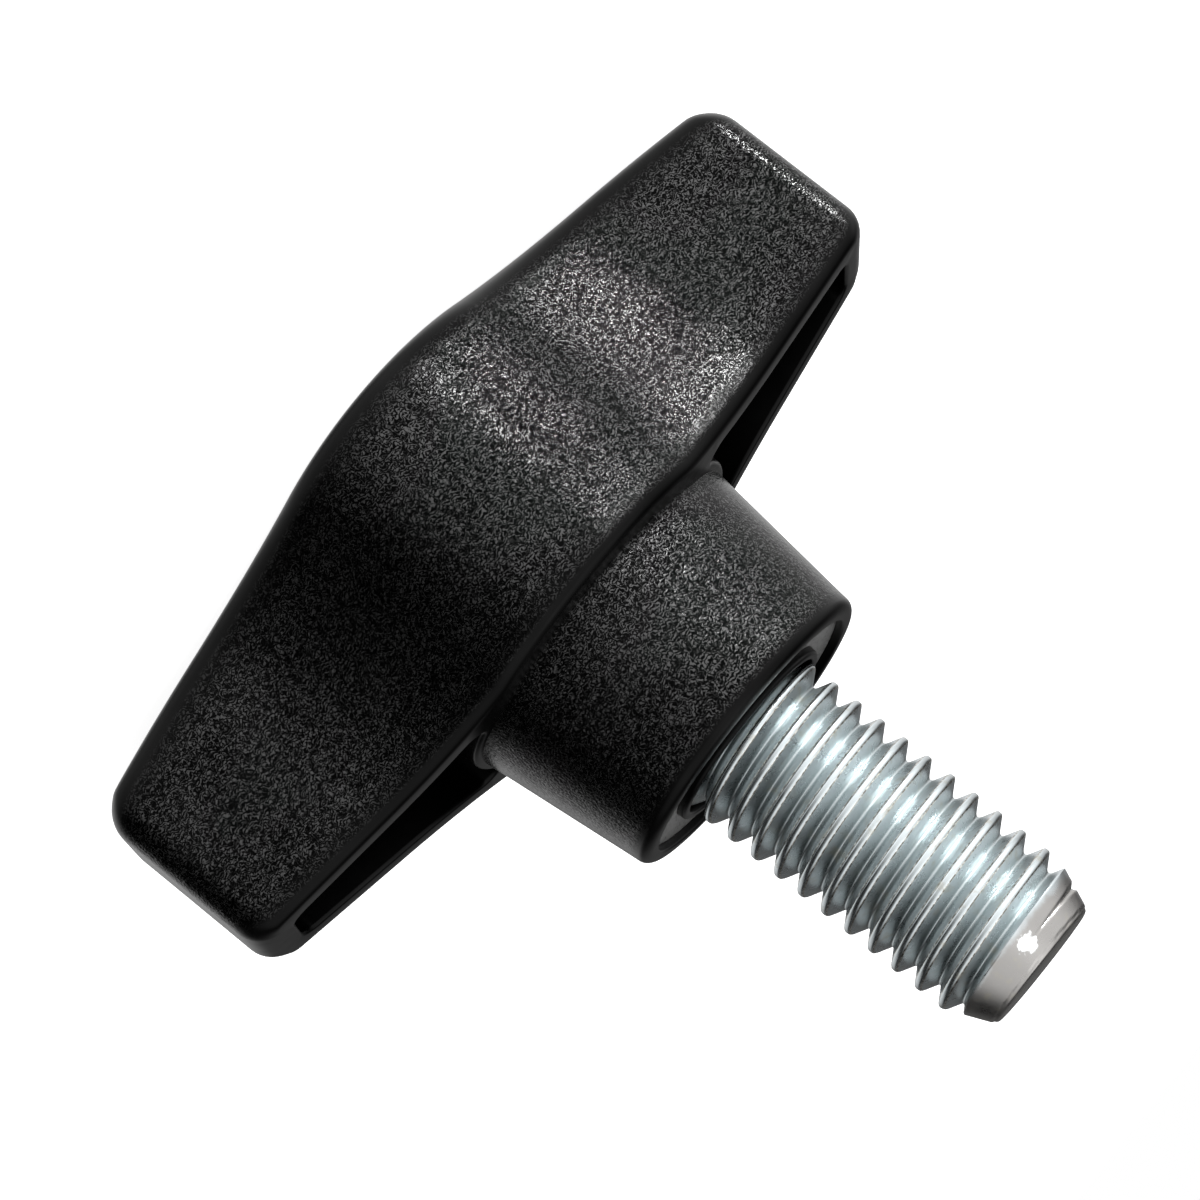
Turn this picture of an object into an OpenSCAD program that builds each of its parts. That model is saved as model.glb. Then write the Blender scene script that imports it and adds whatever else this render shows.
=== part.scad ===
// Two-wing clamping knob with a moulded-in threaded stud.
// The knob stands on its crown with the stud pointing up. The origin is the centre of the
// seating lip at the end of the hub, +Z runs out along the stud and X runs along the wings.

/* [Wings] */
// Span from wing tip to wing tip
span = 40.4; // [38:0.2:44]
// Height of the moulding, from the seating lip to the middle of the crown
body_h = 20.3; // [19:0.1:23]
// Radius of the long arc that the crown follows along the wings
crown_r = 126; // [100:1:200]
// Radius of the round bulge in the middle, seen along the stud
bulge_r = 9.8; // [9.5:0.1:10.2]
// Radius of the hollow blend from the bulge into each wing
blend_r = 18; // [14:0.5:20]
// Thickness of a wing at its tip
tip_t = 6.4; // [5.8:0.1:7]
// Taper of each broad face of a wing towards its tip, in degrees
face_taper = 13; // [10:0.5:14]
// Draft of the broad faces, which makes the body thinner towards the rim, in degrees
body_draft = 1; // [0:0.1:1.5]
// Distance from the seating lip down to the ledge that the hub stands on
ledge_z = 7.95; // [7:0.05:9]
// Fall of the rims from the ledge towards the tips, in degrees
rim_fall = 7.5; // [4:0.1:9]
// Distance from the axis to where the rims start to fall
fall_start = 6; // [5:0.1:8]

/* [Edges] */
// Fillet between a broad face and the crown
edge_r = 1.2; // [0.6:0.1:1.3]
// Fillet between a broad face and the rim
rim_r = 0.6; // [0.4:0.1:1.1]
// Rounding of a wing's tip, both around its corners and over its edges
tip_r = 1.5; // [1.4:0.1:1.8]

/* [Pockets] */
// Wall between a pocket and a broad face, at the rim
wall = 1.7; // [1.4:0.1:1.9]
// Wall between a pocket and the tip
tip_wall = 1.9; // [1.8:0.1:2.4]
// Thickness left between a pocket's floor and the crown
crown_wall = 2.2; // [1.6:0.1:3]
// Wall of the core around the stud, outside the hub's foot
core_wall = 0.4; // [0.3:0.1:0.8]
// Corner radius of a pocket, seen along the stud
pocket_r = 1; // [0.9:0.1:1.1]
// Fillet around a pocket's floor
floor_r = 0.6; // [0.3:0.1:0.6]
// Draft of the pocket walls, in degrees
draft = 1.2; // [0.5:0.1:1.5]

/* [Hub] */
// Diameter of the hub at the seating lip
hub_d = 14; // [13.6:0.1:15]
// Taper of the hub's side, in degrees
hub_taper = 6.3; // [4:0.1:7]
// Rounding of the lip's outer edge
lip_r = 0.5; // [0.3:0.05:0.6]
// Radial width of the seating lip
lip_w = 0.85; // [0.7:0.05:1]
// Depth of the ring-shaped recess inside the lip
recess_z = 0.4; // [0.2:0.05:0.8]
// Radial wall of the collar that stands around the stud
collar_wall = 0.4; // [0.3:0.05:0.6]
// Gap between the collar and the thread, on the radius
collar_gap = 0.1; // [0.05:0.05:0.2]
// Depth of the open gap inside the collar
gap_z = 0.9; // [0.5:0.1:1.5]

/* [Stud] */
// Major diameter of the thread, M8
thread_d = 8; // [8:0.1:8.4]
// Length of the stud beyond the seating lip
stud_len = 15.5; // [12:0.1:30]
// Diameter of the flat at the tip
tip_d = 6.25; // [5.8:0.05:6.6]
// Length of the chamfer behind the tip
tip_len = 1.2; // [0.6:0.1:1.6]
// Diameter of the plain shank that is buried in the hub
shank_d = 7.2; // [6.8:0.1:7.6]
// Depth of the buried shank's end below the seating lip
anchor_z = 10; // [9:0.1:11]
// Width across flats of the hexagonal anchor head
anchor_af = 11; // [10:0.1:12]
// Thickness of the anchor head
anchor_h = 4; // [3:0.1:5]
// Clearance all round between the moulding and the buried part of the stud
stud_fit = 0.02; // [0.01:0.01:0.05]

/* [Hidden] */
$fn = 96;

fillet_steps = 5;   // facets across a fillet
corner_steps = 4;   // facets around a corner, seen along the stud
face_steps = 3;     // facets along a straight broad face
blend_steps = 8;    // facets around the hollow blend
bulge_steps = 9;    // facets around a quarter of the bulge
sliver = 0.02;      // least radius that a pocket's corner keeps at its floor
over = 1;           // how far a cutter runs past the face that it opens
hub_root = 1.2;     // how far the hub's foot is sunk into the body

half_span = span / 2;
hub_r = hub_d / 2;
foot_r = hub_r + ledge_z * tan(hub_taper);
core_r = foot_r + core_wall;
recess_r = hub_r - lip_w;
collar_in = thread_d / 2 + collar_gap;
collar_out = collar_in + collar_wall;

// Plan outline of a broad face: a round bulge, a hollow blend and a straight taper. The taper's
// line lies face_c off the axis, and the blend's centre lies blend_r beyond that line.
face_a = 90 - face_taper;
face_c = half_span * sin(face_taper) + tip_t / 2 * cos(face_taper);
blend_run = sqrt(pow(bulge_r + blend_r, 2) - pow(face_c + blend_r, 2));
blend_at = (face_c + blend_r) * dir(face_a) + blend_run * dir(-face_taper);
blend_a = atan2(blend_at[1], blend_at[0]);

// Unit vector at an angle, and the points of an arc of n facets from the angle a to b
function dir(a) = [cos(a), sin(a)];
function arc(c, r, a, b, n) = [for (i = [0:n]) c + r * dir(a + (b - a) * i / n)];

// Drop of a circle of radius r at a distance t from its top
function sagitta(r, t) = r - sqrt(max(r * r - t * t, 0));

// Eases from 0 to 1 as t does
function ease(t) = let (u = min(max(t, 0), 1)) u * u * (3 - 2 * u);

// A list without its first item, and a list backwards
function rest(list) = [for (i = [1:len(list) - 1]) list[i]];
function back(list) = [for (i = [len(list) - 1:-1:0]) list[i]];

// Height of the crown and of the rim at a distance x along the wings
function crown_at(x) = -body_h + sagitta(crown_r, x);
function rim_at(x) = -ledge_z - max(abs(x) - fall_start, 0) * tan(rim_fall);

// Centre of a corner of radius r that touches the end at x = end and the line inset off a face
function corner_at(end, inset, r) =
    [end - r, (face_c - inset - r - (end - r) * sin(face_taper)) / cos(face_taper)];

// First quarter of the plan outline, from the tip to the middle of the bulge: [point, normal]
quarter_plan =
    let (c = corner_at(half_span, 0, tip_r),
         start = c + tip_r * dir(face_a),
         stop = blend_at - blend_r * dir(face_a))
    concat(
        [for (i = [0:corner_steps]) let (n = dir(face_a * i / corner_steps)) [c + tip_r * n, n]],
        [for (i = [1:face_steps]) [start + (stop - start) * i / face_steps, dir(face_a)]],
        [for (i = [1:blend_steps]) let (n = dir(face_a + (blend_a - face_a) * i / blend_steps))
            [blend_at - blend_r * n, n]],
        [for (i = [1:bulge_steps]) let (n = dir(blend_a + (90 - blend_a) * i / bulge_steps))
            [bulge_r * n, n]]);
upper_plan = concat(quarter_plan, [for (p = rest(back(quarter_plan)))
    [[-p[0][0], p[0][1]], [-p[1][0], p[1][1]]]]);
body_plan = concat(upper_plan, [for (p = back(upper_plan))
    [[p[0][0], -p[0][1]], [p[1][0], -p[1][1]]]]);

// Radius of a fillet that is r along the broad faces and grows to tip_r around the tips
function fillet_at(r, x) = r + (tip_r - r) * ease((abs(x) - half_span + tip_r) / tip_r);

// Point of the plan outline moved in by a distance, at the height that f gives there
function crown_point(p, a) =
    let (r = fillet_at(edge_r, p[0][0]),
         z = crown_at(p[0][0]) + r,
         grow = (rim_at(p[0][0]) - fillet_at(rim_r, p[0][0]) - z) * tan(body_draft) * abs(p[1][1]),
         q = p[0] + p[1] * (grow - r * (1 - sin(a))))
    [q[0], q[1], crown_at(q[0]) + r * (1 - cos(a))];
function rim_point(p, a) =
    let (r = fillet_at(rim_r, p[0][0]), q = p[0] - p[1] * r * (1 - cos(a)))
    [q[0], q[1], rim_at(q[0]) - r * (1 - sin(a))];

// Plan outline of a pocket in the +X wing, its walls moved out by a distance
function pocket_plan(grow) =
    let (r = pocket_r + grow,
         wall_r = blend_r + wall,
         horn = horn_at(core_r + pocket_r, wall_r + pocket_r),
         horn_a = atan2(blend_at[1] - horn[1], blend_at[0] - horn[0]),
         core_a = atan2(horn[1], horn[0]),
         upper = concat(
             arc(corner_at(half_span - tip_wall, wall, pocket_r), r, 0, face_a, corner_steps),
             arc(blend_at, grow - wall_r, face_a, horn_a, corner_steps),
             rest(arc(horn, r, horn_a, core_a + 180, corner_steps)),
             rest(arc([0, 0], core_r - grow, core_a, 0, corner_steps))))
    concat(upper, [for (p = rest(back(upper))) [p[0], -p[1]]]);

// Point on the axis side of the blend's centre, near away from the axis and far from that centre
function horn_at(near, far) =
    let (d = norm(blend_at), u = blend_at / d,
         along = (near * near - far * far + d * d) / (2 * d))
    u * along + [u[1], -u[0]] * sqrt(near * near - along * along);

// Skins a stack of rings, each a closed row of as many points, and adds the two caps
module skin(rings, caps) {
    n = len(rings[0]);
    sides = [for (i = [0:len(rings) - 2]) for (j = [0:n - 1])
        let (k = (j + 1) % n, a = i * n + j, b = i * n + k)
        each [[a, a + n, b], [b, a + n, b + n]]];
    polyhedron([for (ring = rings) each ring], concat(sides, caps), convexity = 6);
}

module body_shell() {
    n = len(body_plan);
    rings = concat(
        [for (i = [0:fillet_steps]) [for (p = body_plan) crown_point(p, 90 * i / fillet_steps)]],
        [for (i = [0:fillet_steps]) [for (p = body_plan) rim_point(p, 90 * i / fillet_steps)]]);
    top = (len(rings) - 1) * n;
    // Each cap is a row of flat strips across the body, between points that mirror each other
    strips = [for (j = [0:n / 2 - 2]) [j, j + 1, n - 2 - j, n - 1 - j]];
    skin(rings, concat(strips, [for (s = strips) [for (i = back(s)) top + i]]));
}

module pocket() {
    near = core_r;
    far = half_span - tip_wall;
    rise = (crown_at(far) - crown_at(near)) / (far - near);
    drawn = (body_h - crown_wall - ledge_z) * tan(draft);
    fillet = min(floor_r, pocket_r - drawn - sliver);
    rings = concat(
        [for (i = [0:corner_steps]) let (a = 90 * i / corner_steps)
            [for (p = pocket_plan(-drawn - fillet * (1 - sin(a))))
                [p[0], p[1], crown_at(near) + crown_wall + (p[0] - near) * rise
                    + fillet * (1 - cos(a))]]],
        [[for (p = pocket_plan(over * tan(draft))) [p[0], p[1], over - ledge_z]]]);
    n = len(rings[0]);
    skin(rings, [[for (j = [0:n - 1]) j], [for (j = [n - 1:-1:0]) (len(rings) - 1) * n + j]]);
}

// Half profile of the hub, from its sunk foot up to the rounded lip and the collar
module hub_profile() {
    side = arc([hub_r - lip_r, -lip_r], lip_r, hub_taper, 90, 8);
    polygon(concat(
        [[0, -ledge_z - hub_root], [foot_r + hub_root * tan(hub_taper), -ledge_z - hub_root]],
        side,
        [[recess_r, 0], [recess_r, -recess_z], [collar_out, -recess_z],
         [collar_out, 0], [collar_in, 0], [collar_in, -gap_z], [0, -gap_z]]));
}

// Buried shape of the stud, grown by a clearance
module anchor(fit) {
    flats = anchor_af / 2 + fit;
    translate([0, 0, -anchor_z - anchor_h - fit])
        rotate([0, 0, 30]) cylinder(r = flats / cos(30), h = anchor_h + 2 * fit, $fn = 6);
    translate([0, 0, -anchor_z - over]) cylinder(r = shank_d / 2 + fit, h = anchor_z + over);
}

module wing_knob() {
    color([0.06, 0.06, 0.065])
    difference() {
        union() {
            body_shell();
            rotate_extrude() hub_profile();
        }
        pocket();
        mirror([1, 0, 0]) pocket();
        anchor(stud_fit);
    }
}

module threaded_stud() {
    color([0.72, 0.75, 0.76])
    union() {
        anchor(0);
        rotate_extrude() polygon([[0, 0], [thread_d / 2, 0],
            [thread_d / 2, stud_len - tip_len], [tip_d / 2, stud_len], [0, stud_len]]);
    }
}

wing_knob();
threaded_stud();
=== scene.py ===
"""Studio scene of a thumb screw: a black two-wing knob moulded around a zinc-plated M8 stud.

The knob stands on its crown with the stud pointing up. Lengths in the classes are millimetres,
as on a drawing of the part, and they are turned into metres only where a mesh is made.
"""
import logging
import math
from dataclasses import dataclass
from enum import Enum
from typing import Any, Iterable, Sequence

import bmesh
import bpy
from mathutils import Matrix, Vector
from mathutils.geometry import delaunay_2d_cdt


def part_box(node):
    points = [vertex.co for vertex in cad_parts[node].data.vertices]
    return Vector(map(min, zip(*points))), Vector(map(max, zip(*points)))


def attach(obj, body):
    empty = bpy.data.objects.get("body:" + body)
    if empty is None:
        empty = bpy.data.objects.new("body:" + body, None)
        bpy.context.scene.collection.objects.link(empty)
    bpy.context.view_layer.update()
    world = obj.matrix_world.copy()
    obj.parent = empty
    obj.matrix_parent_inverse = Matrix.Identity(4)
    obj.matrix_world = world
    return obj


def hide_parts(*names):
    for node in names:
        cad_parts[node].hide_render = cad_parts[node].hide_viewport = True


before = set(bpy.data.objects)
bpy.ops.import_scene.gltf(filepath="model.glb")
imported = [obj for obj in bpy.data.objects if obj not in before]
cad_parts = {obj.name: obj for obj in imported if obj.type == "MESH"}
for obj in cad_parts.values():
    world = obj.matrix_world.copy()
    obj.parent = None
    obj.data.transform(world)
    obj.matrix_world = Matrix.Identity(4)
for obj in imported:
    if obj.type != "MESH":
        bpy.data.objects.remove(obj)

log = logging.getLogger("thumb_screw")

MM = 0.001
KNOB_NODE = "wing_knob"
STUD_NODE = "threaded_stud"
GRAIN = "grain"
AROUND = "around"
THREAD_HEIGHT = "thread_height"
PHOTO_SIDE = 1200

Plan = tuple[float, float]
Place = tuple[float, float, float]
PlanNormal = tuple[float, float, float, float]
Tone = Sequence[float]


class Slot(Enum):
    """Material slots of the record that the finished pieces take."""

    KNOB = "knob_plastic"
    STUD = "zinc_plated_steel"


def box_mm(node: str) -> tuple[Vector, Vector]:
    """Give a node's box in millimetres.

    Args:
        node: Name of a node of the frame.

    Returns:
        The lowest and the highest corner.
    """
    low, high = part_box(node)
    return low / MM, high / MM


def metres(lengths: Sequence[float]) -> list[float]:
    """Turn millimetres into metres."""
    return [length * MM for length in lengths]


def all_round(count: int) -> list[float]:
    """Give even directions around the axis."""
    return [2 * math.pi * i / count for i in range(count)]


def circle(angles: Sequence[float], r: float, z: float) -> list[Place]:
    """Give the points of a level circle around the axis."""
    return [(r * math.cos(a), r * math.sin(a), z) for a in angles]


def hexagon(angles: Sequence[float], flats: float, z: float) -> list[Place]:
    """Give the points of a level hexagon around the axis.

    Args:
        angles: Direction of each point.
        flats: Distance from the axis to a flat.
        z: Height of the hexagon.

    Returns:
        The points.
    """
    sixth = math.pi / 3
    reach = [flats / math.cos((a + sixth / 2) % sixth - sixth / 2) for a in angles]
    return [(r * math.cos(a), r * math.sin(a), z) for a, r in zip(angles, reach)]


def facing(azimuth: float, elevation: float) -> Vector:
    """Give a direction.

    Args:
        azimuth: Turn from -Y towards +X.
        elevation: Rise from the level.

    Returns:
        The direction, of length 1.
    """
    flat = math.cos(elevation)
    return Vector((math.sin(azimuth) * flat, -math.cos(azimuth) * flat, math.sin(elevation)))


def sagitta(radius: float, run: float) -> float:
    """Give the drop of a circle of a radius at a run from its top."""
    return radius - math.sqrt(max(radius * radius - run * run, 0.0))


def steps(count: int) -> list[float]:
    """Give count + 1 even fractions from 0 to 1."""
    return [i / count for i in range(count + 1)]


def quarter_round(radius: float, count: int) -> list[Plan]:
    """Give the steps round a quarter circle.

    Args:
        radius: Radius of the circle.
        count: Number of steps.

    Returns:
        Distances covered along one leg and left along the other.
    """
    angles = [math.pi / 2 * t for t in steps(count)]
    return [(radius * (1.0 - math.cos(a)), radius * (1.0 - math.sin(a))) for a in angles]


def smooth_step(low: float, high: float, value: float) -> float:
    """Ease from 0 at low to 1 at high.

    Args:
        low: Value at which the result leaves 0.
        high: Value at which the result reaches 1.
        value: Value to place between them.

    Returns:
        The eased share.
    """
    t = min(max((value - low) / (high - low), 0.0), 1.0)
    return t * t * (3.0 - 2.0 * t)


class Signal:
    """A socket of a node tree that takes part in Python expressions."""

    def __init__(self, graph: "Graph", socket: bpy.types.NodeSocket) -> None:
        """Hold a socket and the graph that it belongs to."""
        self.graph = graph
        self.socket = socket

    def math(self, operation: str, *others: "Signal | float") -> "Signal":
        """Add a Math node on this signal and others.

        Args:
            operation: Blender's name of the operation.
            others: The second and third operand, where there are any.

        Returns:
            The node's value.
        """
        operands = dict(enumerate((self, *others)))
        return self.graph.node("ShaderNodeMath", {"operation": operation}, operands)

    def __add__(self, other: "Signal | float") -> "Signal":
        """Add."""
        return self.math("ADD", other)

    def __sub__(self, other: "Signal | float") -> "Signal":
        """Subtract."""
        return self.math("SUBTRACT", other)

    def __rsub__(self, other: float) -> "Signal":
        """Subtract from a number."""
        return self.graph.node("ShaderNodeMath", {"operation": "SUBTRACT"}, {0: other, 1: self})

    def __mul__(self, other: "Signal | float") -> "Signal":
        """Multiply."""
        return self.math("MULTIPLY", other)

    def __truediv__(self, other: "Signal | float") -> "Signal":
        """Divide."""
        return self.math("DIVIDE", other)

    def scaled(self, gain: float, base: float) -> "Signal":
        """Multiply by a gain and add a base."""
        return self * gain + base

    def ramp(self, low: float, high: float) -> "Signal":
        """Ease this value from 0 at low to 1 at high.

        Args:
            low: Value at which the result leaves 0.
            high: Value at which the result reaches 1.

        Returns:
            The eased share.
        """
        return self.graph.node(
            "ShaderNodeMapRange",
            {"interpolation_type": "SMOOTHSTEP"},
            {"Value": self, "From Min": low, "From Max": high},
            "Result",
        )


class Graph:
    """Writes nodes into a shader tree or a geometry tree."""

    def __init__(self, tree: bpy.types.NodeTree) -> None:
        """Start on a tree."""
        self.tree = tree

    def add(
        self,
        kind: str,
        settings: dict[str, Any] | None = None,
        inputs: dict[Any, Any] | None = None,
    ) -> bpy.types.Node:
        """Add any node.

        Args:
            kind: Blender's type name of the node.
            settings: The node's own settings, set before its sockets.
            inputs: Values or signals for its sockets, by name or by number.

        Returns:
            The node.
        """
        node = self.tree.nodes.new(kind)
        for name, value in (settings or {}).items():
            setattr(node, name, value)
        for key, value in (inputs or {}).items():
            if isinstance(value, Signal):
                self.tree.links.new(value.socket, node.inputs[key])
            else:
                node.inputs[key].default_value = value
        return node

    def node(
        self,
        kind: str,
        settings: dict[str, Any] | None = None,
        inputs: dict[Any, Any] | None = None,
        output: str | int = 0,
    ) -> Signal:
        """Add any node and take one of its outputs.

        Args:
            kind: Blender's type name of the node.
            settings: The node's own settings.
            inputs: Values or signals for its sockets.
            output: Name or number of the output.

        Returns:
            The output.
        """
        return Signal(self, self.add(kind, settings, inputs).outputs[output])

    def noise(self, place: Signal, scale: float, detail: float) -> Signal:
        """Give a noise with about so many lumps to the metre."""
        inputs = {"Vector": place, "Scale": scale, "Detail": detail}
        return self.node("ShaderNodeTexNoise", {}, inputs)

    def attribute(self, name: str) -> Signal:
        """Read a number that the mesh carries on its points."""
        return self.node("ShaderNodeAttribute", {"attribute_name": name}, output="Fac")

    def axis(self, place: Signal, name: str) -> Signal:
        """Take one coordinate, X, Y or Z, of a place."""
        return self.node("ShaderNodeSeparateXYZ", {}, {0: place}, name)

    def blend(self, share: Signal, first: Tone | Signal, second: Tone | Signal) -> Signal:
        """Mix two colours, each given as three numbers or as a signal.

        Args:
            share: How much of the second colour shows.
            first: Colour at 0.
            second: Colour at 1.

        Returns:
            The mixed colour.
        """
        node = self.add("ShaderNodeMix", {"data_type": "RGBA"}, {0: share})
        for index, colour in ((6, first), (7, second)):
            if isinstance(colour, Signal):
                self.tree.links.new(colour.socket, node.inputs[index])
            else:
                node.inputs[index].default_value = (*colour, 1.0)
        return Signal(self, node.outputs[2])

    def feed(self, node: bpy.types.Node, inputs: dict[str, Signal]) -> None:
        """Link signals to the named inputs of a node."""
        for name, signal in inputs.items():
            self.tree.links.new(signal.socket, node.inputs[name])


def start_material(slot: Slot) -> tuple[bpy.types.Material, Graph, bpy.types.Node]:
    """Make a material for a slot.

    Args:
        slot: Slot of the record that it is for.

    Returns:
        The material, the graph of its tree and its Principled shader.
    """
    material = bpy.data.materials.new(slot.value)
    material.use_nodes = True
    return material, Graph(material.node_tree), material.node_tree.nodes["Principled BSDF"]


class Skin:
    """Collects the rings and faces of one closed surface, with a grain value on each point."""

    def __init__(self) -> None:
        """Start with no points."""
        self.points: list[Place] = []
        self.grain: list[float] = []
        self.around: list[float] = []
        self.faces: list[tuple[int, ...]] = []
        self.creases: list[tuple[int, int]] = []

    def ring(
        self,
        places: Iterable[Place],
        grain: float = 0.0,
        crease: bool = False,
        around: Sequence[float] | None = None,
    ) -> list[int]:
        """Add a closed row of points.

        Args:
            places: The points, in order.
            grain: Share of the mould's texture on them.
            crease: Whether the row is a sharp edge.
            around: Distance of each point along the row, which the texture is laid out by.

        Returns:
            The numbers of the points.
        """
        first = len(self.points)
        self.points.extend(places)
        row = list(range(first, len(self.points)))
        self.grain.extend([grain] * len(row))
        self.around.extend(around or [0.0] * len(row))
        if crease:
            self.creases.extend(zip(row, row[1:] + row[:1]))
        return row

    def bridge(self, one: Sequence[int], other: Sequence[int]) -> None:
        """Join two rings of equal count with quads."""
        for i, start in enumerate(one):
            j = (i + 1) % len(one)
            self.faces.append((start, one[j], other[j], other[i]))

    def stack(self, rings: Sequence[Sequence[int]]) -> None:
        """Join a row of rings, each to the next."""
        for one, other in zip(rings, rings[1:]):
            self.bridge(one, other)

    def strips(self, ring: Sequence[int]) -> None:
        """Close a ring whose second half mirrors its first across the X axis."""
        last = len(ring) - 1
        for i in range(len(ring) // 2 - 1):
            self.faces.append((ring[i], ring[i + 1], ring[last - i - 1], ring[last - i]))

    def plate(self, outer: Sequence[int], holes: Sequence[Sequence[int]] = ()) -> None:
        """Fill the plan area between an outer ring and its holes.

        Args:
            outer: Ring around the area.
            holes: Rings inside it that stay open.
        """
        loops = [list(outer), *[list(hole) for hole in holes]]
        numbers = [index for loop in loops for index in loop]
        edges = []
        start = 0
        for loop in loops:
            count = len(loop)
            edges.extend((start + i, start + (i + 1) % count) for i in range(count))
            start += count
        plan = [Vector(self.points[index][:2]) for index in numbers]
        done = delaunay_2d_cdt(plan, edges, [], 0, 1e-6)
        sources = [origin[0] for origin in done[3]]
        for face in done[2]:
            middle = sum((done[0][i] for i in face), Vector((0.0, 0.0))) / len(face)
            if self._holds(loops[0], middle) and not any(self._holds(h, middle) for h in loops[1:]):
                self.faces.append(tuple(numbers[sources[i]] for i in face))

    def _holds(self, loop: Sequence[int], place: Vector) -> bool:
        """Tell whether a loop runs around a place, both seen in plan.

        Args:
            loop: Numbers of the loop's points.
            place: Plan point.

        Returns:
            True if the place is inside.
        """
        inside = False
        for one, other in zip(loop, [*loop[1:], loop[0]]):
            ax, ay = self.points[one][:2]
            bx, by = self.points[other][:2]
            if (ay > place.y) != (by > place.y):
                if place.x < (bx - ax) * (place.y - ay) / (by - ay) + ax:
                    inside = not inside
        return inside

    def mesh(self, name: str) -> bpy.types.Mesh:
        """Make the mesh, in metres, with faces outwards and creases marked.

        Args:
            name: Name of the mesh.

        Returns:
            The mesh.
        """
        mesh = bpy.data.meshes.new(name)
        mesh.from_pydata([Vector(point) * MM for point in self.points], [], self.faces)
        for name, values in ((GRAIN, self.grain), (AROUND, [value * MM for value in self.around])):
            mesh.attributes.new(name, "FLOAT", "POINT").data.foreach_set("value", values)
        work = bmesh.new()
        work.from_mesh(mesh)
        work.verts.ensure_lookup_table()
        for one, other in self.creases:
            edge = work.edges.get((work.verts[one], work.verts[other]))
            if edge:
                edge.smooth = False
        for face in work.faces:
            face.smooth = True
        bmesh.ops.recalc_face_normals(work, faces=work.faces)
        work.to_mesh(mesh)
        work.free()
        return mesh


@dataclass(frozen=True)
class WingPlan:
    """Plan outline of the moulding: a round bulge, hollow blends and tapered wings."""

    half_span: float
    bulge_r: float = 9.8
    blend_r: float = 18.0
    tip_t: float = 6.75
    taper: float = math.radians(11.0)
    corner_r: float = 1.5
    corner_steps: int = 10
    face_steps: int = 26
    blend_steps: int = 22
    bulge_steps: int = 26

    @property
    def offset(self) -> float:
        """Give the distance from the axis to the line of a broad face."""
        return self.half_span * math.sin(self.taper) + self.tip_t / 2 * math.cos(self.taper)

    @property
    def blend_centre(self) -> Vector:
        """Give the centre of the hollow blend, which touches the bulge and the face line."""
        across = Vector((math.sin(self.taper), math.cos(self.taper)))
        along = Vector((math.cos(self.taper), -math.sin(self.taper)))
        reach = self.offset + self.blend_r
        run = math.sqrt((self.bulge_r + self.blend_r) ** 2 - reach**2)
        return across * reach + along * run

    def corner_centre(self, end: float, inset: float, radius: float) -> Vector:
        """Give the centre of the round between a wing's end and its broad face.

        Args:
            end: Distance from the axis to the end.
            inset: Distance from the broad face to the line that the round touches.
            radius: Radius of the round.

        Returns:
            The centre.
        """
        x = end - radius
        y = (self.offset - inset - radius - math.sin(self.taper) * x) / math.cos(self.taper)
        return Vector((x, y))

    def quarter(self) -> list[PlanNormal]:
        """Give the first quarter of the outline, from the +X end to the middle of the bulge.

        Returns:
            Points with their outward normals: x, y, normal x, normal y.
        """
        face_angle = math.pi / 2 - self.taper
        centre = self.blend_centre
        junction = math.atan2(centre.y, centre.x)
        corner = self.corner_centre(self.half_span, 0.0, self.corner_r)
        row = []
        for t in steps(self.corner_steps):
            a = face_angle * t
            n = Vector((math.cos(a), math.sin(a)))
            row.append((*(corner + n * self.corner_r), *n))
        n = Vector((math.cos(face_angle), math.sin(face_angle)))
        start = corner + n * self.corner_r
        stop = centre - n * self.blend_r
        row.extend((*start.lerp(stop, t), *n) for t in steps(self.face_steps)[1:])
        for t in steps(self.blend_steps)[1:]:
            a = face_angle + (junction - face_angle) * t
            n = Vector((math.cos(a), math.sin(a)))
            row.append((*(centre - n * self.blend_r), *n))
        for t in steps(self.bulge_steps)[1:]:
            a = junction + (math.pi / 2 - junction) * t
            n = Vector((math.cos(a), math.sin(a)))
            row.append((*(n * self.bulge_r), *n))
        return row

    def outline(self) -> list[PlanNormal]:
        """Give the whole outline, anticlockwise, as mirrored quarters."""
        first = self.quarter()
        second = [(-x, y, -nx, ny) for x, y, nx, ny in reversed(first[:-1])]
        upper = first + second
        return upper + [(x, -y, nx, -ny) for x, y, nx, ny in reversed(upper)]


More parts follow.
